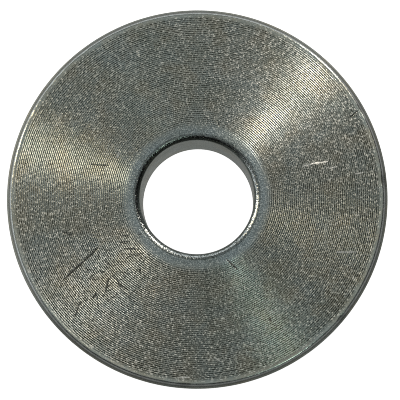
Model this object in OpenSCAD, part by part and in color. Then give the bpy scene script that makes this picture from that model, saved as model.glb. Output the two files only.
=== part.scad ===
// Thick flat washer, turned from round steel bar and zinc plated.
//
// One solid ring: two flat bearing faces, a plain clearance bore for the bolt,
// and a 45 degree chamfer on all four edges.
// Frame: the centre of the lower bearing face is the origin, +Z runs up the bore axis.
// Units: millimetres.

/* [Ring] */
// Outside diameter of the ring
outer_d = 30; // [20:0.5:60]
// Thickness between the two bearing faces
thickness = 6; // [2:0.25:12]

/* [Bore] */
// Diameter of the bolt hole, 9 mm being the medium clearance hole for an M8 bolt
bore_d = 9; // [4:0.1:17]

/* [Edges] */
// Width of the 45 degree chamfer on the two outside edges
outer_chamfer = 0.4; // [0.1:0.05:0.9]
// Width of the 45 degree chamfer at the two mouths of the bore
bore_chamfer = 0.4; // [0.1:0.05:0.9]

/* [Hidden] */
outer_r = outer_d / 2;
bore_r = bore_d / 2;
// Facets round the ring, for the preview mesh
facets = 180;

// Names of the sub-parts. The washer is one piece of metal, so there is one.

// Half of the ring's cross-section, drawn as radius against height.
module ring_section() {
    polygon([
        [bore_r + bore_chamfer, 0],
        [outer_r - outer_chamfer, 0],
        [outer_r, outer_chamfer],
        [outer_r, thickness - outer_chamfer],
        [outer_r - outer_chamfer, thickness],
        [bore_r + bore_chamfer, thickness],
        [bore_r, thickness - bore_chamfer],
        [bore_r, bore_chamfer],
    ]);
}

// The whole washer: its section spun about the bore axis.
module washer() {
    color("darkgray")
        rotate_extrude($fn = facets)
            ring_section();
}

washer();
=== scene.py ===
"""Thick flat washer, turned from round steel bar and zinc plated.

One solid ring is the whole object. A Geometry Nodes tree sweeps its section round the bore axis
band by band, and each turned band carries the fine spiral that the lathe tool leaves on it.
"""

import math

import bpy
from bpy.props import FloatProperty, FloatVectorProperty, IntProperty, PointerProperty
from bpy.types import Operator, Panel, PropertyGroup
from mathutils import Matrix, Vector


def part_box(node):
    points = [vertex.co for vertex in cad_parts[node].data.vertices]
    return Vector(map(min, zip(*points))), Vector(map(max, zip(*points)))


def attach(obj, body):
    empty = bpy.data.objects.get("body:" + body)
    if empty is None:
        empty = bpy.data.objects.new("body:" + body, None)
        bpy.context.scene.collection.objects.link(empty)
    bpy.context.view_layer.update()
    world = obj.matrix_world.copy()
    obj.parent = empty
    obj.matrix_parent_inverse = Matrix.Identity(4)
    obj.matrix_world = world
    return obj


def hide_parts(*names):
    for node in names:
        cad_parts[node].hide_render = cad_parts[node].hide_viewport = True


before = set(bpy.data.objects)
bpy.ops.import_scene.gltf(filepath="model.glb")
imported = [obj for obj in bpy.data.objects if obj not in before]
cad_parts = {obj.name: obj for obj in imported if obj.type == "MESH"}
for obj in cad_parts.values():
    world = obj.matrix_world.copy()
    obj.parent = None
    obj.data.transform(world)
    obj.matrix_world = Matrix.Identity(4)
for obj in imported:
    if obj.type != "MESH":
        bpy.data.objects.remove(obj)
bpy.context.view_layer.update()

bl_info = {
    "name": "Turned flat washer",
    "version": (1, 0, 0),
    "blender": (4, 5, 0),
    "location": "View3D > Sidebar > Washer",
    "description": "Builds a thick turned washer with its tool marks, zinc plating and stage",
    "category": "Add Mesh",
}

CAD_NODE = "washer"
BODY = "root"
MM = 0.001
MICRON = 0.000001
FULL_TURN = 2 * math.pi
# Names of the point attributes: how deep in a tool mark a point lies, and the crest between two marks.
GROOVE = "groove"
CUSP = "cusp"
# Steps round the ring.
COLUMNS = 300


def section_sizes():
    """The ring's radii, thickness and chamfers, read from the vertices of its CAD node."""
    low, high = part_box(CAD_NODE)
    corners = [(math.hypot(v.co.x, v.co.y), v.co.z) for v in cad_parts[CAD_NODE].data.vertices]
    radii = [radius for radius, _ in corners]
    face_radii = [radius for radius, height in corners if high.z - height < MICRON]
    return {
        "outer_radius": max(radii),
        "bore_radius": min(radii),
        "thickness": high.z - low.z,
        "outer_chamfer": max(radii) - max(face_radii),
        "bore_chamfer": min(face_radii) - min(radii),
    }


SECTION = section_sizes()
# Height of the chamfer at the upper mouth of the bore, as a share of its width.
BORE_LEAD_SHARE = 0.75


# ---- Settings that a user would change


def length_setting(name, description, default):
    """A length in metres, shown with its unit and five decimals."""
    return FloatProperty(
        name=name, description=description, default=default, min=0.0, unit="LENGTH", precision=5
    )


def colour_setting(name, description, default):
    """A linear colour with a picker."""
    return FloatVectorProperty(
        name=name, description=description, default=default, size=3, min=0.0, max=1.0, subtype="COLOR"
    )


def share_setting(name, description, default):
    """A number from 0 to 1, shown as a slider."""
    return FloatProperty(
        name=name, description=description, default=default, min=0.0, max=1.0, subtype="FACTOR"
    )


def power_setting(name, description, default):
    """A light's power in watts."""
    return FloatProperty(name=name, description=description, default=default, min=0.0, unit="POWER")


class WasherRing(PropertyGroup):
    """Section of the ring"""

    outer_radius: length_setting("Outer radius", "Half of the outside diameter", SECTION["outer_radius"])
    bore_radius: length_setting("Bore radius", "Half of the bore's diameter", SECTION["bore_radius"])
    thickness: length_setting("Thickness", "Height between the two faces", SECTION["thickness"])
    outer_chamfer: length_setting(
        "Outer chamfer", "Leg of the chamfer on the rim", SECTION["outer_chamfer"]
    )
    bore_chamfer: length_setting(
        "Bore chamfer", "Leg of the chamfer in the bore", SECTION["bore_chamfer"]
    )
    bore_lead: length_setting(
        "Bore chamfer height",
        "Height of the flatter chamfer at the upper mouth of the bore",
        SECTION["bore_chamfer"] * BORE_LEAD_SHARE,
    )
    outer_blend: length_setting("Rim edge blend", "Setback of the rounding on the rim's edges", 0.075 * MM)
    bore_blend: length_setting("Bore edge blend", "Setback of the rounding on the bore's edges", 0.19 * MM)
    columns: IntProperty(
        name="Columns", description="Steps round the ring", default=COLUMNS, min=24, max=720
    )


class WasherTurning(PropertyGroup):
    """Marks that the lathe tools leave"""

    face_feed: length_setting("Face feed", "Tool travel a turn on the upper face", 0.15 * MM)
    face_depth: length_setting("Face mark depth", "Depth of a mark on the upper face", 35 * MICRON)
    back_feed: length_setting("Back feed", "Tool travel a turn on the parted-off lower face", 0.25 * MM)
    back_depth: length_setting("Back mark depth", "Depth of a mark on the lower face", 16 * MICRON)
    rim_feed: length_setting("Rim feed", "Tool travel a turn along the rim", 0.2 * MM)
    rim_depth: length_setting("Rim mark depth", "Depth of a mark on the rim", 8 * MICRON)
    bore_feed: length_setting("Bore feed", "Drill travel a turn along the bore", 0.4 * MM)
    bore_depth: length_setting("Bore mark depth", "Depth of a mark in the bore", 2 * MICRON)
    lean: FloatProperty(
        name="Mark lean",
        description="How far the bottom of a mark lies beyond its middle, in marks",
        default=-0.14,
        min=-0.4,
        max=0.4,
    )
    seed: IntProperty(name="Seed", description="Seed of the uneven mark depth", default=4, min=0)


class WasherPlating(PropertyGroup):
    """Colours and gloss of the zinc plating"""

    zinc: colour_setting("Zinc", "Body colour of the plating", (0.54, 0.575, 0.535))
    blue_zinc: colour_setting("Blued zinc", "Colour of the smooth zone round the bore", (0.43, 0.54, 0.61))
    # Dull zinc colours the handled patches and the painted shade on the bore's wall.
    dull_and_shade_zinc: colour_setting("Dull zinc", "Colour of the darker, handled patches", (0.33, 0.36, 0.30))
    warm_zinc: colour_setting("Yellowed zinc", "Colour of the faint yellow patches", (0.62, 0.55, 0.42))
    cool_zinc: colour_setting("Cool zinc", "Colour of the faint blue patches", (0.43, 0.54, 0.58))
    bright_zinc: colour_setting("Bright zinc", "Colour of the clean crystal tips", (0.97, 0.99, 0.95))
    # Burnished zinc colours the rubbed chamfer at the bore's mouth and the painted highlight along the
    # rim's edge.
    burnished_and_highlight_zinc: colour_setting("Burnished zinc", "Colour of the rubbed chamfers", (0.80, 0.86, 0.89))
    # Soil colours the residue in the pits, the darker mark bottoms and the painted shade on one side of
    # the bore's mouth.
    soil_and_shade: colour_setting("Soil", "Colour of the residue down in the tool marks", (0.03, 0.034, 0.028))
    roughness: share_setting("Roughness", "Gloss of the plating between its marks", 0.275)
    anisotropy: share_setting("Grain direction", "How far the tool grain stretches a highlight", 0.55)


class WasherStage(PropertyGroup):
    """Floor, lights and camera"""

    floor: colour_setting("Floor", "Colour of the floor", (0.35, 0.35, 0.35))
    floor_glow: share_setting("Floor glow", "Light that the floor itself throws on the metal", 0.26)
    key_power: power_setting("Key light", "Power of the key light", 0.215)
    side_power: power_setting("Side light", "Power of the side light", 0.137)
    low_power: power_setting("Low light", "Power of the low light", 0.035)


# ---- Node wiring


class Wiring:
    """Short calls that add nodes to one tree and join them."""

    def __init__(self, tree):
        self.tree = tree

    def node(self, kind, **settings):
        """A new node with its settings."""
        node = self.tree.nodes.new(kind)
        for name, value in settings.items():
            setattr(node, name, value)
        return node

    def join(self, value, socket):
        """Links value to the socket, or sets it there where it is a plain value."""
        if isinstance(value, bpy.types.NodeSocket):
            self.tree.links.new(value, socket)
        else:
            socket.default_value = value

    def fill(self, node, **values):
        """Joins values to the inputs that carry those names, with _ for a space."""
        for name, value in values.items():
            self.join(value, node.inputs[name.replace("_", " ")])
        return node

    def math(self, operation, *values, clamp=False):
        """One Math node."""
        node = self.node("ShaderNodeMath", operation=operation, use_clamp=clamp)
        for socket, value in zip(node.inputs, values):
            self.join(value, socket)
        return node.outputs[0]

    def vector(self, operation, *values, scale=None):
        """One Vector Math node."""
        node = self.node("ShaderNodeVectorMath", operation=operation)
        for socket, value in zip(node.inputs, values):
            self.join(value, socket)
        if scale is not None:
            self.join(scale, node.inputs["Scale"])
        return node.outputs["Value" if operation in {"LENGTH", "DOT_PRODUCT", "DISTANCE"} else "Vector"]

    def product(self, first, *others):
        """The product of several values."""
        for other in others:
            first = self.math("MULTIPLY", first, other)
        return first

    def hump(self, share):
        """4 share (1 - share): 1 in the middle and 0 at both ends."""
        return self.product(share, self.math("SUBTRACT", 1.0, share), 4.0)

    def point(self, x, y, z):
        """One Combine XYZ node."""
        return self.fill(self.node("ShaderNodeCombineXYZ"), X=x, Y=y, Z=z).outputs[0]

    def turned_point(self, angle, radius, height):
        """The point at this angle round the Z axis, this far from it and this high."""
        x = self.math("MULTIPLY", radius, self.math("COSINE", angle))
        y = self.math("MULTIPLY", radius, self.math("SINE", angle))
        return self.point(x, y, height)

    def parts(self, vector):
        """The three outputs of one Separate XYZ node."""
        node = self.node("ShaderNodeSeparateXYZ")
        self.join(vector, node.inputs[0])
        return node.outputs[0], node.outputs[1], node.outputs[2]

    def ease(self, value, low, high, to_low=0.0, to_high=1.0):
        """A smooth step from to_low to to_high as value goes from low to high."""
        node = self.node("ShaderNodeMapRange", interpolation_type="SMOOTHSTEP")
        for socket, given in zip(node.inputs, (value, low, high, to_low, to_high)):
            self.join(given, socket)
        return node.outputs[0]

    def blend(self, share, first, second):
        """A mix of two colours. The colour sockets of a Mix node come after its other kinds'."""
        node = self.node("ShaderNodeMix", data_type="RGBA", clamp_factor=True)
        self.join(share, node.inputs[0])
        self.join(first, node.inputs[6])
        self.join(second, node.inputs[7])
        return node.outputs[2]

    def lean(self, share, first, second):
        """A mix of two vectors."""
        node = self.node("ShaderNodeMix", data_type="VECTOR")
        self.join(share, node.inputs[0])
        self.join(first, node.inputs[4])
        self.join(second, node.inputs[5])
        return node.outputs[1]

    def noise(self, vector, scale, detail=2.0, roughness=0.5):
        """The value of one Noise Texture node."""
        node = self.node("ShaderNodeTexNoise", noise_dimensions="3D")
        self.fill(node, Vector=vector, Scale=scale, Detail=detail, Roughness=roughness)
        return node.outputs[0]

    def use(self, group, **values):
        """A node that runs a node group, with its named inputs filled."""
        kind = "GeometryNodeGroup" if self.tree.bl_idname == "GeometryNodeTree" else "ShaderNodeGroup"
        node = self.node(kind)
        node.node_tree = group
        return self.fill(node, **values)


def new_group(name, kind, inputs, outputs):
    """An empty node group with named sockets: its tree, wiring, and the sockets in and out of it."""
    tree = bpy.data.node_groups.new(name, kind)
    for direction, sockets in (("INPUT", inputs), ("OUTPUT", outputs)):
        for label, socket_kind, default in sockets:
            socket = tree.interface.new_socket(name=label, in_out=direction, socket_type=socket_kind)
            if default is not None:
                socket.default_value = default
    wires = Wiring(tree)
    return tree, wires, wires.node("NodeGroupInput").outputs, wires.node("NodeGroupOutput").inputs


def cleared(owner):
    """Wiring for the emptied node tree of a material or a world."""
    owner.use_nodes = True
    owner.node_tree.nodes.clear()
    return Wiring(owner.node_tree)


# ---- Geometry Nodes: the turned ring


# A little more than rounding error, so that a whole number of marks never counts as one less.
PHASE_NUDGE = 0.001
# Distance from the middle of a mark, in marks, beyond which a row is the crest between two marks.
CREST_FROM = 0.45
# Share of its full depth from which a mark's crest is crisp.
CRISP_FROM = 0.3
# Rate at which the depth of the marks wanders, in waves a metre of tool travel.
WANDER_RATE = 900.0


def turned_band_group():
    """A strip swept round the Z axis along a curve in the section plane, with the tool's spiral cut in it.

    Start, Control and End are (radius, 0, height) points of a quadratic curve. The body of the ring
    lies to the right of the way from Start to End. Rows of vertices follow the tool: they drop
    back by one mark a turn, so the strip's first and last columns meet.
    """
    tree, wires, given, result = new_group(
        "Turned Band",
        "GeometryNodeTree",
        [
            ("Start", "NodeSocketVector", None),
            ("Control", "NodeSocketVector", None),
            ("End", "NodeSocketVector", None),
            ("Feed", "NodeSocketFloat", 0.15 * MM),
            ("Mark Depth", "NodeSocketFloat", 0.0),
            ("Rows per Mark", "NodeSocketInt", 2),
            ("Mark Lean", "NodeSocketFloat", 0.0),
            ("Lead", "NodeSocketFloat", 1.0),
            ("Columns", "NodeSocketInt", COLUMNS),
            ("Fade In", "NodeSocketFloat", 0.1 * MM),
            ("Fade Out", "NodeSocketFloat", 0.1 * MM),
            ("Unevenness", "NodeSocketFloat", 0.3),
            ("Seed", "NodeSocketInt", 0),
        ],
        [("Mesh", "NodeSocketGeometry", None)],
    )
    along = wires.vector("SUBTRACT", given["End"], given["Start"])
    length = wires.vector("LENGTH", along)
    marks = wires.math("MAXIMUM", wires.math("ROUND", wires.math("DIVIDE", length, given["Feed"])), 1.0)
    feed = wires.math("DIVIDE", length, marks)
    rows = wires.product(wires.math("ADD", marks, given["Lead"]), given["Rows per Mark"])

    grid = wires.node("GeometryNodeMeshGrid")
    wires.fill(
        grid,
        Size_X=1.0,
        Size_Y=1.0,
        Vertices_X=wires.math("ADD", rows, 1.0),
        Vertices_Y=wires.math("ADD", given["Columns"], 1.0),
    )
    across, around, _ = wires.parts(wires.node("GeometryNodeInputPosition").outputs[0])
    row = wires.math("ROUND", wires.product(wires.math("ADD", across, 0.5), rows))
    turn = wires.math("ADD", around, 0.5)
    mark = wires.math("DIVIDE", row, given["Rows per Mark"])

    phase = wires.math("FRACT", wires.math("ADD", mark, PHASE_NUDGE))
    hollow = wires.hump(phase)

    travel = wires.math("SUBTRACT", mark, wires.product(given["Lead"], turn))
    travel = wires.math("ADD", travel, wires.product(hollow, given["Mark Lean"]))
    travel = wires.product(travel, feed)
    travel = wires.math("MINIMUM", wires.math("MAXIMUM", travel, 0.0), length)
    share = wires.math("DIVIDE", travel, length)
    rest = wires.math("SUBTRACT", 1.0, share)
    section = wires.vector("SCALE", given["Start"], scale=wires.product(rest, rest))
    middle_weight = wires.product(share, rest, 2.0)
    section = wires.vector("ADD", section, wires.vector("SCALE", given["Control"], scale=middle_weight))
    end_weight = wires.product(share, share)
    section = wires.vector("ADD", section, wires.vector("SCALE", given["End"], scale=end_weight))

    from_end = wires.math("SUBTRACT", length, travel)
    fade = wires.product(
        wires.ease(travel, 0.0, given["Fade In"]),
        wires.ease(from_end, 0.0, given["Fade Out"]),
    )
    wander = wires.noise(wires.point(wires.product(travel, WANDER_RATE), given["Seed"], 0.5), 1.0)
    wander = wires.product(wires.math("SUBTRACT", wander, 0.5), given["Unevenness"])
    strength = wires.product(fade, wires.math("ADD", wander, 1.0))
    depth = wires.product(hollow, given["Mark Depth"], strength)
    way_r, _, way_z = wires.parts(wires.vector("NORMALIZE", along))
    inward = wires.point(way_z, 0.0, wires.product(way_r, -1.0))
    section = wires.vector("ADD", section, wires.vector("SCALE", inward, scale=depth))

    radius, _, height = wires.parts(section)
    place = wires.turned_point(wires.product(turn, FULL_TURN), radius, height)

    from_middle = wires.math("ABSOLUTE", wires.math("SUBTRACT", phase, 0.5))
    at_crest = wires.math("GREATER_THAN", from_middle, CREST_FROM)
    marked = wires.product(wires.math("GREATER_THAN", fade, CRISP_FROM), given["Mark Depth"])
    cusp = wires.math("GREATER_THAN", wires.product(at_crest, marked), 0.0)
    crests = wires.node("GeometryNodeStoreNamedAttribute", data_type="BOOLEAN", domain="POINT")
    wires.fill(crests, Geometry=grid.outputs["Mesh"], Name=CUSP, Value=cusp)
    depths = wires.node("GeometryNodeStoreNamedAttribute", data_type="FLOAT", domain="POINT")
    wires.fill(depths, Geometry=crests.outputs[0], Name=GROOVE, Value=wires.product(hollow, strength))
    moved = wires.fill(wires.node("GeometryNodeSetPosition"), Geometry=depths.outputs[0], Position=place)
    wires.join(moved.outputs[0], result["Mesh"])
    return tree


def edge_nick_group():
    """Presses a small dent into the ring, down and towards the bore, round one point of an edge."""
    tree, wires, given, result = new_group(
        "Edge Nick",
        "GeometryNodeTree",
        [
            ("Mesh", "NodeSocketGeometry", None),
            ("Angle", "NodeSocketFloat", 0.0),
            ("Radius", "NodeSocketFloat", 15 * MM),
            ("Height", "NodeSocketFloat", 6 * MM),
            ("Reach", "NodeSocketFloat", 0.5 * MM),
            ("Depth", "NodeSocketFloat", 0.05 * MM),
        ],
        [("Mesh", "NodeSocketGeometry", None)],
    )
    centre = wires.turned_point(given["Angle"], given["Radius"], given["Height"])
    distance = wires.vector("DISTANCE", wires.node("GeometryNodeInputPosition").outputs[0], centre)
    press = wires.ease(distance, 0.0, given["Reach"], given["Depth"], 0.0)
    inward = wires.vector("NORMALIZE", wires.turned_point(given["Angle"], -1.0, -1.0))
    moved = wires.fill(
        wires.node("GeometryNodeSetPosition"),
        Geometry=given["Mesh"],
        Offset=wires.vector("SCALE", inward, scale=press),
    )
    wires.join(moved.outputs[0], result["Mesh"])
    return tree


# Nicks on the upper rim edge: angle from +X in degrees, reach and depth in millimetres.
NICKS = (
    (5, 0.75, 0.10),
    (28, 0.40, 0.05),
    (128, 0.50, 0.06),
    (138, 0.40, 0.05),
    (142, 0.55, 0.06),
    (154, 0.45, 0.05),
    (203, 0.40, 0.04),
    (266, 0.45, 0.05),
    (320, 0.50, 0.07),
)


# Vertices of neighbouring bands that lie closer than this are joined.
WELD_DISTANCE = 4 * MICRON


def washer_group(band, nick):
    """The whole ring: four turned bands, four chamfers and eight rounded edges, joined and nicked."""
    sizes = ("Outer Radius", "Bore Radius", "Thickness", "Outer Chamfer", "Bore Chamfer", "Bore Lead")
    tool_marks = ("Face", "Back", "Rim", "Bore")
    inputs = [(name, "NodeSocketFloat", 0.0) for name in sizes + ("Outer Blend", "Bore Blend")]
    for name in tool_marks:
        inputs.append((name + " Feed", "NodeSocketFloat", 0.2 * MM))
        inputs.append((name + " Mark Depth", "NodeSocketFloat", 0.0))
    inputs += [
        ("Columns", "NodeSocketInt", COLUMNS),
        ("Mark Lean", "NodeSocketFloat", 0.0),
        ("Seed", "NodeSocketInt", 0),
        ("Finish", "NodeSocketMaterial", None),
    ]
    tree, wires, given, result = new_group(
        "Turned Washer", "GeometryNodeTree", inputs, [("Mesh", "NodeSocketGeometry", None)]
    )
    outer, bore, top = given["Outer Radius"], given["Bore Radius"], given["Thickness"]
    face_outer = wires.math("SUBTRACT", outer, given["Outer Chamfer"])
    face_inner = wires.math("ADD", bore, given["Bore Chamfer"])
    rim_top = wires.math("SUBTRACT", top, given["Outer Chamfer"])
    bore_top = wires.math("SUBTRACT", top, given["Bore Lead"])
    corners = [
        (face_inner, top, "Bore"),
        (face_outer, top, "Outer"),
        (outer, rim_top, "Outer"),
        (outer, given["Outer Chamfer"], "Outer"),
        (face_outer, 0.0, "Outer"),
        (face_inner, 0.0, "Bore"),
        (bore, given["Bore Chamfer"], "Bore"),
        (bore, bore_top, "Bore"),
    ]
    points = [wires.point(radius, 0.0, height) for radius, height, _ in corners]
    ways = []
    for index, point in enumerate(points):
        following = points[(index + 1) % len(points)]
        ways.append(wires.vector("NORMALIZE", wires.vector("SUBTRACT", following, point)))
    starts, ends = [], []
    for index, (point, (_, _, side)) in enumerate(zip(points, corners)):
        setback = given[side + " Blend"]
        ends.append(wires.vector("SUBTRACT", point, wires.vector("SCALE", ways[index - 1], scale=setback)))
        starts.append(wires.vector("ADD", point, wires.vector("SCALE", ways[index], scale=setback)))

    # The band that follows each corner: its tool marks and their fades at its two ends, or None for
    # a plain chamfer.
    cuts = [
        ("Face", 0.9 * MM, 0.35 * MM),
        None,
        ("Rim", 0.2 * MM, 0.2 * MM),
        None,
        ("Back", 0.5 * MM, 0.4 * MM),
        None,
        ("Bore", 0.3 * MM, 0.3 * MM),
        None,
    ]
    strips = wires.node("GeometryNodeJoinGeometry")
    for index, cut in enumerate(cuts):
        start = starts[index]
        end = ends[(index + 1) % len(points)]
        middle = wires.vector("SCALE", wires.vector("ADD", start, end), scale=0.5)
        strip = wires.use(band, Start=start, Control=middle, End=end, Columns=given["Columns"])
        if cut:
            name, fade_in, fade_out = cut
            wires.fill(
                strip,
                Feed=given[name + " Feed"],
                Mark_Depth=given[name + " Mark Depth"],
                Fade_In=fade_in,
                Fade_Out=fade_out,
                Seed=given["Seed"],
                Mark_Lean=given["Mark Lean"],
            )
        else:
            wires.fill(strip, Feed=1.0, Rows_per_Mark=2, Lead=0.0)
        wires.tree.links.new(strip.outputs[0], strips.inputs[0])
        rounding = wires.use(band, Start=ends[index], Control=points[index], End=starts[index])
        wires.fill(rounding, Feed=1.0, Rows_per_Mark=4, Lead=0.0, Columns=given["Columns"])
        wires.tree.links.new(rounding.outputs[0], strips.inputs[0])

    closed = wires.fill(
        wires.node("GeometryNodeMergeByDistance"), Geometry=strips.outputs[0], Distance=WELD_DISTANCE
    ).outputs[0]
    for angle, reach, depth in NICKS:
        dent = wires.use(
            nick,
            Mesh=closed,
            Angle=math.radians(angle),
            Radius=face_outer,
            Height=top,
            Reach=reach * MM,
            Depth=depth * MM,
        )
        closed = dent.outputs[0]

    smooth = wires.node("GeometryNodeSetShadeSmooth", domain="FACE")
    wires.fill(smooth, Geometry=closed, Shade_Smooth=True)
    cusp = wires.node("GeometryNodeInputNamedAttribute", data_type="BOOLEAN")
    wires.fill(cusp, Name=CUSP)
    crisp = wires.fill(
        wires.node("GeometryNodeSetShadeSmooth", domain="EDGE"),
        Geometry=smooth.outputs[0],
        Selection=cusp.outputs[0],
        Shade_Smooth=False,
    )
    bare = wires.fill(wires.node("GeometryNodeRemoveAttribute"), Geometry=crisp.outputs[0], Name=CUSP)
    realized = wires.fill(wires.node("GeometryNodeRealizeInstances"), Geometry=bare.outputs[0])
    finished = wires.fill(
        wires.node("GeometryNodeSetMaterial"), Geometry=realized.outputs[0], Material=given["Finish"]
    )
    wires.join(finished.outputs[0], result["Mesh"])
    return tree


def mesh_from_tree(name, tree, values):
    """Runs a Geometry Nodes tree with these input values and keeps its result as a plain mesh."""
    maker = bpy.data.objects.new(name + "_maker", bpy.data.meshes.new(name + "_maker"))
    bpy.context.scene.collection.objects.link(maker)
    modifier = maker.modifiers.new("Turning", "NODES")
    modifier.node_group = tree
    sockets = {item.name: item.identifier for item in tree.interface.items_tree if item.in_out == "INPUT"}
    for label, value in values.items():
        modifier[sockets[label]] = value
    evaluated = maker.evaluated_get(bpy.context.evaluated_depsgraph_get())
    mesh = bpy.data.meshes.new_from_object(evaluated)
    mesh.name = name
    piece = bpy.data.objects.new(name, mesh)
    bpy.context.scene.collection.objects.link(piece)
    bpy.data.objects.remove(maker)
    return piece


# ---- Material: zinc plating over turned steel


# Noises drawn out round the bore: width of a grain across the tool's way, and grains a radian.
GRAIN = {"Grain_Width": 0.12 * MM, "Grains_per_Radian": 22.0}
DRAG = {"Grain_Width": 0.5 * MM, "Grains_per_Radian": 6.0}
GRIT = {"Grain_Width": 0.11 * MM, "Grains_per_Radian": 75.0, "Detail": 1.0}
CHATTER = {"Grain_Width": 0.22 * MM, "Grains_per_Radian": 20.0, "Detail": 2.0}


def tool_grain_group():
    """Fine noise that runs round the bore axis, as the drag of a lathe tool does."""
    tree, wires, given, result = new_group(
        "Tool Grain",
        "ShaderNodeTree",
        [
            ("Vector", "NodeSocketVector", None),
            ("Grain Width", "NodeSocketFloat", 0.1 * MM),
            ("Grains per Radian", "NodeSocketFloat", 20.0),
            ("Detail", "NodeSocketFloat", 3.0),
        ],
        [("Height", "NodeSocketFloat", None)],
    )
    x, y, z = wires.parts(given["Vector"])
    flat = wires.point(x, y, 0.0)
    radius = wires.vector("LENGTH", flat)
    around = wires.vector("SCALE", wires.vector("NORMALIZE", flat), scale=given["Grains per Radian"])
    across = wires.math("DIVIDE", wires.math("ADD", radius, z), given["Grain Width"])
    place = wires.vector("ADD", around, wires.point(0.0, 0.0, across))
    wires.join(wires.noise(place, 1.0, detail=given["Detail"], roughness=0.6), result["Height"])
    return tree


# Cloudy patches: their size, and half of the range of noise over which they fade.
DULL_PATCHES = {"Patch_Size": 3.5 * MM, "Contrast": 0.2}
WARM_PATCHES = {"Patch_Size": 1.6 * MM, "Contrast": 0.12}
COOL_PATCHES = {"Patch_Size": 2.2 * MM, "Contrast": 0.12}
# Moves the cool patches away from the warm ones.
COOL_SHIFT = (20 * MM, 10 * MM, 0.0)


def plating_mottle_group():
    """Cloudy patches of thicker and thinner plating."""
    tree, wires, given, result = new_group(
        "Plating Mottle",
        "ShaderNodeTree",
        [
            ("Vector", "NodeSocketVector", None),
            ("Patch Size", "NodeSocketFloat", 2 * MM),
            ("Contrast", "NodeSocketFloat", 0.25),
        ],
        [("Mask", "NodeSocketFloat", None)],
    )
    scale = wires.math("DIVIDE", 1.0, given["Patch Size"])
    cloud = wires.noise(given["Vector"], scale, detail=4.0, roughness=0.6)
    low = wires.math("SUBTRACT", 0.5, given["Contrast"])
    high = wires.math("ADD", 0.5, given["Contrast"])
    wires.join(wires.ease(cloud, low, high), result["Mask"])
    return tree


# Rate at which a scratch's width wavers, in waves a metre, and how blunt its two ends are: 0 for
# square ends and 1 for long points.
WAVER_RATE = 3000.0
TAPER_BLUNTNESS = 0.3


def handling_scratch_group():
    """A tapered scratch between two points of the upper face, given by angle and radius."""
    tree, wires, given, result = new_group(
        "Handling Scratch",
        "ShaderNodeTree",
        [
            ("Vector", "NodeSocketVector", None),
            ("Start Angle", "NodeSocketFloat", 0.0),
            ("Start Radius", "NodeSocketFloat", 8 * MM),
            ("End Angle", "NodeSocketFloat", 0.0),
            ("End Radius", "NodeSocketFloat", 10 * MM),
            ("Width", "NodeSocketFloat", 0.1 * MM),
            ("Height", "NodeSocketFloat", 6 * MM),
        ],
        [("Mask", "NodeSocketFloat", None)],
    )
    start = wires.turned_point(given["Start Angle"], given["Start Radius"], given["Height"])
    end = wires.turned_point(given["End Angle"], given["End Radius"], given["Height"])
    line = wires.vector("SUBTRACT", end, start)
    offset = wires.vector("SUBTRACT", given["Vector"], start)
    span = wires.vector("DOT_PRODUCT", line, line)
    share = wires.math("DIVIDE", wires.vector("DOT_PRODUCT", offset, line), span, clamp=True)
    distance = wires.vector("DISTANCE", offset, wires.vector("SCALE", line, scale=share))
    waver = wires.noise(given["Vector"], WAVER_RATE)
    blunt = wires.math("POWER", wires.hump(share), TAPER_BLUNTNESS)
    taper = wires.product(blunt, wires.math("ADD", waver, 0.5))
    reach = wires.product(given["Width"], taper)
    wires.join(wires.ease(distance, 0.0, reach, 1.0, 0.0), result["Mask"])
    return tree


# Noise values over which a hairline goes from unseen to full: only the peaks show, as thin dashes.
HAIRLINE_PEAKS = (0.73, 0.79)


def hairline_group():
    """Sparse fine lines that all run one way."""
    tree, wires, given, result = new_group(
        "Hairlines",
        "ShaderNodeTree",
        [
            ("Vector", "NodeSocketVector", None),
            ("Direction", "NodeSocketFloat", 0.0),
            ("Line Length", "NodeSocketFloat", 1.3 * MM),
            ("Line Width", "NodeSocketFloat", 0.1 * MM),
        ],
        [("Mask", "NodeSocketFloat", None)],
    )
    turned = wires.node("ShaderNodeVectorRotate", rotation_type="Z_AXIS")
    wires.fill(turned, Vector=given["Vector"], Angle=given["Direction"])
    along, across, _ = wires.parts(turned.outputs[0])
    place = wires.point(
        wires.math("DIVIDE", along, given["Line Length"]),
        wires.math("DIVIDE", across, given["Line Width"]),
        given["Direction"],
    )
    peaks = wires.ease(wires.noise(place, 1.0, detail=0.0), *HAIRLINE_PEAKS)
    wires.join(peaks, result["Mask"])
    return tree


# Ways that the fine hairlines run, in degrees from +X.
HAIRLINE_WAYS = (12, 48, 75, 140)
# Middle of the most handled part of the face, as angle and radius, and how far from it the
# hairlines start to thin out and end. The last number is how dark they are at the most.
HANDLED_WAY = math.radians(222)
HANDLED_RADIUS = 9.0 * MM
HANDLED_CORE = 1.65 * MM
HANDLED_REACH = 5.5 * MM
HANDLED_SHARE = 0.7

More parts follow.
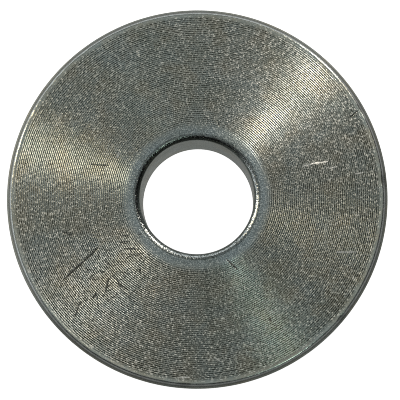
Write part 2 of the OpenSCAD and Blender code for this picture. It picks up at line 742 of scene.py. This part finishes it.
# Scratches on the upper face: angle and radius of each end, in degrees and millimetres, then width
# in millimetres and depth, where a negative depth is a burnished line that catches light.
SCRATCHES = (
    (207.7, 8.7, 212.2, 12.4, 0.13, 1.0),
    (16.0, 8.6, 15.6, 9.5, 0.11, -0.6),
    (16.2, 9.3, 14.8, 10.7, 0.12, -0.9),
    (12.0, 10.6, 12.0, 11.3, 0.10, -0.7),
    (8.0, 12.5, 8.2, 13.2, 0.10, -0.7),
    (338.0, 11.7, 340.6, 13.2, 0.12, -0.7),
    (295.0, 5.4, 299.0, 6.6, 0.10, 0.8),
    (301.2, 11.0, 300.2, 11.4, 0.10, 0.8),
    (27.4, 13.7, 28.1, 14.4, 0.10, 1.0),
    (75.7, 6.3, 72.0, 5.8, 0.10, 0.8),
    (264.0, 14.2, 268.0, 14.1, 0.10, -0.8),
    (276.0, 12.6, 278.6, 13.1, 0.10, -0.6),
    (154.0, 7.0, 150.0, 7.1, 0.15, -0.6),
    (163.0, 8.8, 160.5, 7.3, 0.08, 0.8),
    (218.5, 9.6, 219.5, 9.3, 0.10, 0.9),
    (226.5, 10.4, 223.0, 9.4, 0.10, 0.9),
    (224.0, 9.1, 228.0, 9.1, 0.10, 1.0),
    (227.5, 9.2, 234.0, 9.1, 0.10, 1.0),
    (224.5, 11.4, 224.0, 10.9, 0.10, 0.9),
    (225.0, 13.5, 222.0, 12.2, 0.08, 0.7),
    (232.0, 7.2, 233.5, 7.5, 0.10, 1.0),
    (215.5, 7.1, 222.5, 6.1, 0.09, 0.8),
    (207.5, 6.8, 210.5, 6.1, 0.09, 0.7),
    (211.0, 7.1, 214.0, 6.3, 0.09, 0.7),
    (213.0, 5.6, 214.5, 5.2, 0.10, 0.7),
    (194.5, 10.9, 197.5, 10.2, 0.25, 0.6),
    (201.0, 10.3, 203.5, 9.9, 0.25, -0.2),
)


# The side of the bore's mouth that is darkened with painted shade, how far round it reaches as the cosine
# of the angle from that side, and how dark it gets.
MOUTH_SHADE_WAY = (math.cos(math.radians(120)), math.sin(math.radians(120)), 0.0)
MOUTH_SHADE_REACH = (-0.1, 0.7)
MOUTH_SHADE_SHARE = 0.85
# Normal of the burnished flank of a light scratch: up, with a little lean.
SCRATCH_FLANK = Vector((0.10, 0.13, 0.98)).normalized()
# Colours of the bottom of a dark scratch and of a burnished one.
SCRATCH_DARK = (0.03, 0.03, 0.027, 1.0)
SCRATCH_LIGHT = (0.97, 0.98, 0.96, 1.0)

# Widths over which one zone of the plating runs into the next.
EDGE_BLUR = 0.1 * MM
RIM_BLUR = 0.3 * MM
# Blued zone: how far beyond the chamfer it is full, and where it ends.
BLUED_FULL = 0.3 * MM
BLUED_END = 1.3 * MM
# Bright line on the rim's edge, a painted highlight that is also a smoother rubbed edge: how far it
# reaches either side, where the flat beyond it begins, and how bright the line is and how much of that the
# flat keeps.
RIM_LINE_BLUR = 0.05 * MM
RIM_LINE_END = (0.16 * MM, 0.28 * MM)
RIM_LINE_SHARE = 0.9
RIM_FLAT_SHARE = 0.15
# Painted shade on the bore's wall, darker near its foot and towards its top: the heights over which the
# lower and the upper part change, and its most.
BORE_LOWER = (0.5 * MM, 1.4 * MM)
BORE_LOWER_SHARE = 0.7
BORE_UPPER = (2.0 * MM, 5.0 * MM)
BORE_UPPER_SHARE = 0.5
# Shares of the tints.
CLOUD_SHARE = 0.45
BLUED_SHARE = 0.8
# Tool mark depths, as shares of a full mark, over which the mark bottoms go from not darkened to fully
# darkened.
MARK_BOTTOM_DEPTH = (0.40, 0.85)
# Grit values that make a pit and a crystal tip.
PIT_GRIT = (0.42, 0.60)
TIP_GRIT = (0.56, 0.67)
# How dark the pits on the crests, the pits in the marks, the bottoms of the marks themselves and the
# pits of the blued zone get; in the pits this is residue.
CREST_PITS = 0.26
MARK_PITS = 0.98
MARKS = 0.5
BLUED_PITS = 0.5
# Share of the crystal tips that the blued zone lacks.
BLUED_TIP_LOSS = 0.6
# Burrs on the edges: how far either side of the edge they are full and end, and their height, in
# grains, on the bore's edge and on the rim's.
BURR_REACH = (0.06 * MM, 0.24 * MM)
BORE_BURR = 6.0
RIM_BURR = 4.0
# Depth of a dark scratch in grains, its darkness, and the height of a grain.
SCRATCH_DEPTH = 2.0
SCRATCH_SHARE = 0.95
GRAIN_HEIGHT = 9 * MICRON
# What each effect adds to the roughness.
DRAG_ROUGHNESS = 0.15
DULL_ROUGHNESS = 0.05
TIP_ROUGHNESS = 0.22
MOUTH_ROUGHNESS = -0.14
RIM_ROUGHNESS = -0.05


def plating_zones(wires, place, ring):
    """Where each zone of the ring lies, as masks by name; the burrs' mask holds their height."""
    x, y, z = wires.parts(place)
    flat = wires.point(x, y, 0.0)
    radius = wires.vector("LENGTH", flat)
    face_from = ring.bore_radius + ring.bore_chamfer
    face_to = ring.outer_radius - ring.outer_chamfer
    chamfer_foot = ring.thickness - ring.bore_lead
    mouth = wires.product(
        wires.ease(radius, face_from - 1.2 * EDGE_BLUR, face_from - 0.2 * EDGE_BLUR, 1.0, 0.0),
        wires.ease(z, chamfer_foot - EDGE_BLUR, chamfer_foot),
    )
    # Which way each point faces round the axis, for the painted shade on one side of the bore's mouth.
    facing_shade = wires.vector("DOT_PRODUCT", wires.vector("NORMALIZE", flat), MOUTH_SHADE_WAY)
    # Painted shade on the bore's wall: darker near its foot and towards its top.
    bore_wall_shade = wires.math(
        "MAXIMUM",
        wires.ease(z, *BORE_LOWER, BORE_LOWER_SHARE, 0.0),
        wires.ease(z, *BORE_UPPER, 0.0, BORE_UPPER_SHARE),
    )
    on_wall = wires.ease(radius, ring.bore_radius, ring.bore_radius + 0.5 * EDGE_BLUR, 1.0, 0.0)
    rim_from, rim_to = (face_to + distance for distance in RIM_LINE_END)
    burrs = 0.0
    for edge, share in ((face_from - EDGE_BLUR, BORE_BURR), (face_to, RIM_BURR)):
        from_edge = wires.math("ABSOLUTE", wires.math("SUBTRACT", radius, edge))
        burrs = wires.math("ADD", burrs, wires.ease(from_edge, *BURR_REACH, share, 0.0))
    return {
        "face": wires.product(
            wires.ease(radius, face_from - EDGE_BLUR, face_from + EDGE_BLUR),
            wires.ease(radius, face_to - RIM_BLUR, face_to, 1.0, 0.0),
        ),
        "blued": wires.product(
            wires.ease(radius, face_from - EDGE_BLUR, face_from),
            wires.ease(radius, face_from + BLUED_FULL, face_from + BLUED_END, 1.0, 0.0),
        ),
        "mouth": mouth,
        # Painted shade on one side of the bore's mouth.
        "mouth_shade": wires.product(mouth, wires.ease(facing_shade, *MOUTH_SHADE_REACH, 0.0, MOUTH_SHADE_SHARE)),
        # Painted highlight along the rim's edge, which is also rubbed smoother.
        "rim_highlight_and_rub": wires.product(
            wires.ease(radius, face_to - RIM_LINE_BLUR, face_to + RIM_LINE_BLUR, 0.0, RIM_LINE_SHARE),
            wires.ease(radius, rim_from, rim_to, 1.0, RIM_FLAT_SHARE),
        ),
        # Painted shade on the bore's wall.
        "wall": wires.product(bore_wall_shade, on_wall),
        "burrs": burrs,
    }


def darkening_mask(wires, pits, zones):
    """How dark the plating gets: residue in the pits, darker towards the bottom of each tool mark, and
    painted shade on one side of the bore's mouth.
    """
    groove = wires.node("ShaderNodeAttribute", attribute_type="GEOMETRY", attribute_name=GROOVE)
    bottoms = wires.ease(groove.outputs["Fac"], *MARK_BOTTOM_DEPTH)
    fullness = wires.math("ADD", CREST_PITS, wires.product(bottoms, MARK_PITS - CREST_PITS))
    darkening = wires.product(pits, fullness)
    for other in (
        wires.product(bottoms, MARKS),
        wires.product(pits, zones["blued"], BLUED_PITS),
        # Painted shade on one side of the bore's mouth.
        zones["mouth_shade"],
    ):
        darkening = wires.math("MAXIMUM", darkening, other)
    return darkening


def scratch_masks(wires, place, zones, ring):
    """Masks of the dark scratches, with the hairlines, and of the light ones."""
    dark, light = 0.0, 0.0
    middle = (
        HANDLED_RADIUS * math.cos(HANDLED_WAY),
        HANDLED_RADIUS * math.sin(HANDLED_WAY),
        ring.thickness,
    )
    from_middle = wires.vector("DISTANCE", place, middle)
    handled = wires.ease(from_middle, HANDLED_CORE, HANDLED_REACH, HANDLED_SHARE, 0.0)
    handled = wires.product(handled, zones["face"])
    hairlines = hairline_group()
    for way in HAIRLINE_WAYS:
        lines = wires.use(hairlines, Vector=place, Direction=math.radians(way)).outputs[0]
        dark = wires.math("MAXIMUM", dark, wires.product(lines, handled))
    scratch_group = handling_scratch_group()
    for start_angle, start_radius, end_angle, end_radius, width, strength in SCRATCHES:
        scratch = wires.use(
            scratch_group,
            Vector=place,
            Start_Angle=math.radians(start_angle),
            Start_Radius=start_radius * MM,
            End_Angle=math.radians(end_angle),
            End_Radius=end_radius * MM,
            Width=width * MM,
            Height=ring.thickness,
        ).outputs[0]
        scratch = wires.product(scratch, abs(strength))
        if strength > 0:
            dark = wires.math("MAXIMUM", dark, scratch)
        else:
            light = wires.math("MAXIMUM", light, scratch)
    return dark, light


def zinc_plating(plating, ring):
    """Zinc plating over turned steel: gloss drawn out round the bore, tints, residue and scratches, with
    painted shade on the bore's wall and on one side of its mouth, and a painted highlight on the rim's
    edge.
    """
    material = bpy.data.materials.new("zinc_plating")
    wires = cleared(material)
    place = wires.node("ShaderNodeTexCoord").outputs["Object"]
    zones = plating_zones(wires, place, ring)
    grain_group = tool_grain_group()
    grain, drag, grit, chatter = (
        wires.use(grain_group, Vector=place, **kind).outputs[0] for kind in (GRAIN, DRAG, GRIT, CHATTER)
    )
    mottle_group = plating_mottle_group()
    dull = wires.use(mottle_group, Vector=place, **DULL_PATCHES).outputs[0]
    warm = wires.use(mottle_group, Vector=place, **WARM_PATCHES).outputs[0]
    elsewhere = wires.vector("ADD", place, COOL_SHIFT)
    cool = wires.use(mottle_group, Vector=elsewhere, **COOL_PATCHES).outputs[0]

    pits = wires.product(wires.ease(grit, *PIT_GRIT, 1.0, 0.0), zones["face"])
    tip_share = wires.math("SUBTRACT", 1.0, wires.product(zones["blued"], BLUED_TIP_LOSS))
    tips = wires.product(wires.ease(grit, *TIP_GRIT), zones["face"], tip_share)
    dark, light = scratch_masks(wires, place, zones, ring)
    colour = (*plating.zinc, 1.0)
    for share, tint in (
        (wires.product(warm, CLOUD_SHARE), (*plating.warm_zinc, 1.0)),
        (wires.product(cool, CLOUD_SHARE), (*plating.cool_zinc, 1.0)),
        (wires.product(zones["blued"], BLUED_SHARE), (*plating.blue_zinc, 1.0)),
        (wires.product(dull, CLOUD_SHARE), (*plating.dull_and_shade_zinc, 1.0)),
        (tips, (*plating.bright_zinc, 1.0)),
        # Burnished chamfer at the bore's mouth, and the painted highlight along the rim's edge.
        (wires.math("MAXIMUM", zones["mouth"], zones["rim_highlight_and_rub"]), (*plating.burnished_and_highlight_zinc, 1.0)),
        # Painted shade on the bore's wall, in the dull zinc colour.
        (zones["wall"], (*plating.dull_and_shade_zinc, 1.0)),
        # Residue in the pits, darker mark bottoms, and painted shade on one side of the bore's mouth.
        (darkening_mask(wires, pits, zones), (*plating.soil_and_shade, 1.0)),
        (wires.product(dark, SCRATCH_SHARE), SCRATCH_DARK),
        (light, SCRATCH_LIGHT),
    ):
        colour = wires.blend(share, colour, tint)

    roughness = plating.roughness
    for amount, change in (
        (wires.math("SUBTRACT", drag, 0.5), DRAG_ROUGHNESS),
        (dull, DULL_ROUGHNESS),
        (tips, TIP_ROUGHNESS),
        (zones["mouth"], MOUTH_ROUGHNESS),
        (zones["rim_highlight_and_rub"], RIM_ROUGHNESS),
    ):
        roughness = wires.math("ADD", roughness, wires.product(amount, change))

    height = wires.math("SUBTRACT", grain, wires.product(dark, SCRATCH_DEPTH))
    height = wires.math("ADD", height, wires.product(zones["burrs"], chatter))
    bump = wires.node("ShaderNodeBump")
    wires.fill(bump, Strength=1.0, Distance=GRAIN_HEIGHT, Height=height)

    surface = wires.node("ShaderNodeBsdfPrincipled")
    wires.fill(
        surface,
        Base_Color=colour,
        Metallic=1.0,
        Roughness=roughness,
        Anisotropic=plating.anisotropy,
        Anisotropic_Rotation=0.25,
        Tangent=wires.node("ShaderNodeTangent", direction_type="RADIAL", axis="Z").outputs[0],
        Normal=wires.lean(light, bump.outputs[0], SCRATCH_FLANK),
    )
    output = wires.node("ShaderNodeOutputMaterial")
    wires.join(surface.outputs[0], output.inputs["Surface"])
    return material


# ---- Stage: floor, soft lights and camera

FLOOR_RADIUS = 0.5
FLOOR_SIDES = 128
# Gap between the lower face and the floor, which keeps the two from fighting.
FLOOR_GAP = 0.02 * MM
# The floor's glow: distances from the bore axis at which it is full and has faded, and the share of
# it that stays beyond that.
GLOW_REACH = (8 * MM, 40 * MM)
GLOW_LEFT = 0.2
# Lights: setting that holds the power, azimuth from +X and elevation in degrees, width and height
# in metres, colour.
LIGHTS = (
    ("key", 52.5, 38, 0.022, 0.19, (1.0, 0.90, 0.78)),
    ("side", 157, 32, 0.036, 0.17, (1.0, 0.87, 0.64)),
    ("low", 302, 39, 0.03, 0.09, (0.80, 1.0, 0.84)),
)
LIGHT_DISTANCE = 0.25
# Light from overhead: heights on the unit sky over which it rises, and its strength at each.
SKY_HEIGHTS = (0.6, 1.0)
SKY_STRENGTHS = (0.02, 0.39)
SKY_COLOUR = (0.97, 1.0, 0.96, 1.0)
# The pale wall: its azimuth as a direction, the cosines of the angle from it over which it rises,
# the heights over which it ends, and its strength.
WALL_WAY = (math.cos(math.radians(130)), math.sin(math.radians(130)), 0.0)
WALL_SIDES = (0.0, 0.5)
WALL_TOP = (0.1, 0.5)
WALL_STRENGTH = 1.0
WHITE = (1.0, 1.0, 1.0, 1.0)
# Width of the render's filter: narrow, so that neighbouring tool marks stay apart.
FILTER_WIDTH = 1.0
# The camera: height of its line of sight and its lean to one side, distance from the upper face in
# metres, lens in millimetres, and how far it slides right and up from the face's centre.
CAMERA_ELEVATION = math.radians(83.87)
CAMERA_LEAN = math.radians(0.93)
CAMERA_DISTANCE = 0.11937
CAMERA_LENS = 136.87
CAMERA_SLIDE = (0.25 * MM, -0.278 * MM)
CAMERA_CLIP = (0.005, 10.0)


def pale_floor(colour, glow_strength):
    """A pale floor: white to the camera, and grey with a soft glow in the metal's reflections."""
    material = bpy.data.materials.new("pale_floor")
    wires = cleared(material)
    matt = wires.fill(wires.node("ShaderNodeBsdfDiffuse"), Color=(*colour, 1.0))
    seen = wires.node("ShaderNodeLightPath").outputs["Is Camera Ray"]
    from_washer = wires.vector("LENGTH", wires.node("ShaderNodeTexCoord").outputs["Object"])
    near = wires.ease(from_washer, *GLOW_REACH, glow_strength, glow_strength * GLOW_LEFT)
    strength = wires.math("MAXIMUM", seen, near)
    glow = wires.fill(wires.node("ShaderNodeEmission"), Color=WHITE, Strength=strength)
    lit = wires.node("ShaderNodeAddShader")
    wires.join(matt.outputs[0], lit.inputs[0])
    wires.join(glow.outputs[0], lit.inputs[1])
    output = wires.node("ShaderNodeOutputMaterial")
    wires.join(lit.outputs[0], output.inputs["Surface"])
    return material


def studio_world():
    """Soft light from overhead and from a pale wall low down on one side; the camera sees white."""
    world = bpy.data.worlds.new("studio")
    bpy.context.scene.world = world
    wires = cleared(world)
    way = wires.node("ShaderNodeTexCoord").outputs["Generated"]
    _, _, up = wires.parts(way)
    facing = wires.vector("DOT_PRODUCT", way, WALL_WAY)
    wall = wires.product(wires.ease(facing, *WALL_SIDES), wires.ease(up, *WALL_TOP, WALL_STRENGTH, 0.0))
    strength = wires.math("ADD", wires.ease(up, *SKY_HEIGHTS, *SKY_STRENGTHS), wall)
    soft = wires.fill(wires.node("ShaderNodeBackground"), Color=SKY_COLOUR, Strength=strength)
    plain = wires.fill(wires.node("ShaderNodeBackground"), Color=WHITE, Strength=1.0)
    mixed = wires.node("ShaderNodeMixShader")
    wires.join(wires.node("ShaderNodeLightPath").outputs["Is Camera Ray"], mixed.inputs[0])
    wires.join(soft.outputs[0], mixed.inputs[1])
    wires.join(plain.outputs[0], mixed.inputs[2])
    output = wires.node("ShaderNodeOutputWorld")
    wires.join(mixed.outputs[0], output.inputs["Surface"])


def soft_light(name, azimuth, elevation, width, height, colour, power, aim):
    """A rectangular softbox that faces the point it aims at."""
    light = bpy.data.lights.new(name, "AREA")
    light.shape = "RECTANGLE"
    light.size = width
    light.size_y = height
    light.energy = power
    light.color = colour
    softbox = bpy.data.objects.new(name, light)
    bpy.context.scene.collection.objects.link(softbox)
    azimuth, elevation = math.radians(azimuth), math.radians(elevation)
    out = Vector(
        (
            math.cos(elevation) * math.cos(azimuth),
            math.cos(elevation) * math.sin(azimuth),
            math.sin(elevation),
        )
    )
    softbox.location = aim + out * LIGHT_DISTANCE
    softbox.rotation_euler = (-out).to_track_quat("-Z", "Y").to_euler()


def look_down_camera(aim):
    """A long lens nearly straight above the upper face, tilted a little towards -Y."""
    data = bpy.data.cameras.new("camera")
    data.lens = CAMERA_LENS
    data.clip_start, data.clip_end = CAMERA_CLIP
    camera = bpy.data.objects.new("camera", data)
    bpy.context.scene.collection.objects.link(camera)
    across = math.sin(CAMERA_LEAN)
    forward = Vector((-across, math.cos(CAMERA_ELEVATION), -math.sin(CAMERA_ELEVATION))).normalized()
    right = forward.cross(Vector((0.0, 1.0, 0.0))).normalized()
    up = right.cross(forward)
    camera.location = aim - forward * CAMERA_DISTANCE + right * CAMERA_SLIDE[0] + up * CAMERA_SLIDE[1]
    camera.rotation_euler = Matrix((right, up, -forward)).transposed().to_euler()
    bpy.context.scene.camera = camera


# ---- Operators and panel


class WASHER_OT_turn_ring(Operator):
    """Turn the ring, with its tool marks, edges and zinc plating"""

    bl_idname = "washer.turn_ring"
    bl_label = "Turn the ring"

    def execute(self, context):
        ring = context.scene.washer_ring
        turning = context.scene.washer_turning
        finish = zinc_plating(context.scene.washer_plating, ring)
        tree = washer_group(turned_band_group(), edge_nick_group())
        piece = mesh_from_tree(
            "turned_washer",
            tree,
            {
                "Outer Radius": ring.outer_radius,
                "Bore Radius": ring.bore_radius,
                "Thickness": ring.thickness,
                "Outer Chamfer": ring.outer_chamfer,
                "Bore Chamfer": ring.bore_chamfer,
                "Bore Lead": ring.bore_lead,
                "Outer Blend": ring.outer_blend,
                "Bore Blend": ring.bore_blend,
                "Face Feed": turning.face_feed,
                "Face Mark Depth": turning.face_depth,
                "Back Feed": turning.back_feed,
                "Back Mark Depth": turning.back_depth,
                "Rim Feed": turning.rim_feed,
                "Rim Mark Depth": turning.rim_depth,
                "Bore Feed": turning.bore_feed,
                "Bore Mark Depth": turning.bore_depth,
                "Columns": ring.columns,
                "Mark Lean": turning.lean,
                "Seed": turning.seed,
                "Finish": finish,
            },
        )
        if not piece.data.polygons:
            raise RuntimeError("the turning tree gave an empty mesh")
        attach(piece, BODY)
        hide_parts(CAD_NODE)
        return {"FINISHED"}


class WASHER_OT_lay_out_stage(Operator):
    """Lay out the floor, the soft lights and the camera"""

    bl_idname = "washer.lay_out_stage"
    bl_label = "Lay out the stage"

    def execute(self, context):
        stage = context.scene.washer_stage
        bpy.ops.mesh.primitive_circle_add(vertices=FLOOR_SIDES, radius=FLOOR_RADIUS, fill_type="NGON")
        floor = context.active_object
        floor.name = "floor"
        floor.location.z = -FLOOR_GAP
        floor.data.materials.append(pale_floor(stage.floor, stage.floor_glow))
        studio_world()
        face_centre = Vector((0.0, 0.0, context.scene.washer_ring.thickness))
        for name, azimuth, elevation, width, height, colour in LIGHTS:
            power = getattr(stage, name + "_power")
            soft_light(name + "_light", azimuth, elevation, width, height, colour, power, face_centre)
        look_down_camera(face_centre)
        context.scene.view_settings.view_transform = "Standard"
        context.scene.cycles.use_denoising = False
        context.scene.cycles.filter_width = FILTER_WIDTH
        return {"FINISHED"}


class WASHER_PT_panel(Panel):
    """Washer settings in the sidebar of the 3D view"""

    bl_label = "Turned washer"
    bl_space_type = "VIEW_3D"
    bl_region_type = "UI"
    bl_category = "Washer"

    def draw(self, context):
        for settings in SETTINGS:
            group = getattr(context.scene, settings)
            box = self.layout.box()
            for name in group.__annotations__:
                box.prop(group, name)
        for operator in (WASHER_OT_turn_ring, WASHER_OT_lay_out_stage):
            self.layout.operator(operator.bl_idname)


SETTINGS = {
    "washer_ring": WasherRing,
    "washer_turning": WasherTurning,
    "washer_plating": WasherPlating,
    "washer_stage": WasherStage,
}
CLASSES = (*SETTINGS.values(), WASHER_OT_turn_ring, WASHER_OT_lay_out_stage, WASHER_PT_panel)


def register():
    for cls in CLASSES:
        bpy.utils.register_class(cls)
    for name, cls in SETTINGS.items():
        setattr(bpy.types.Scene, name, PointerProperty(type=cls))


def unregister():
    for name in SETTINGS:
        delattr(bpy.types.Scene, name)
    for cls in reversed(CLASSES):
        bpy.utils.unregister_class(cls)


def main():
    """Builds the washer and its stage."""
    register()
    bpy.ops.washer.turn_ring()
    bpy.ops.washer.lay_out_stage()


if __name__ == "__main__":
    main()
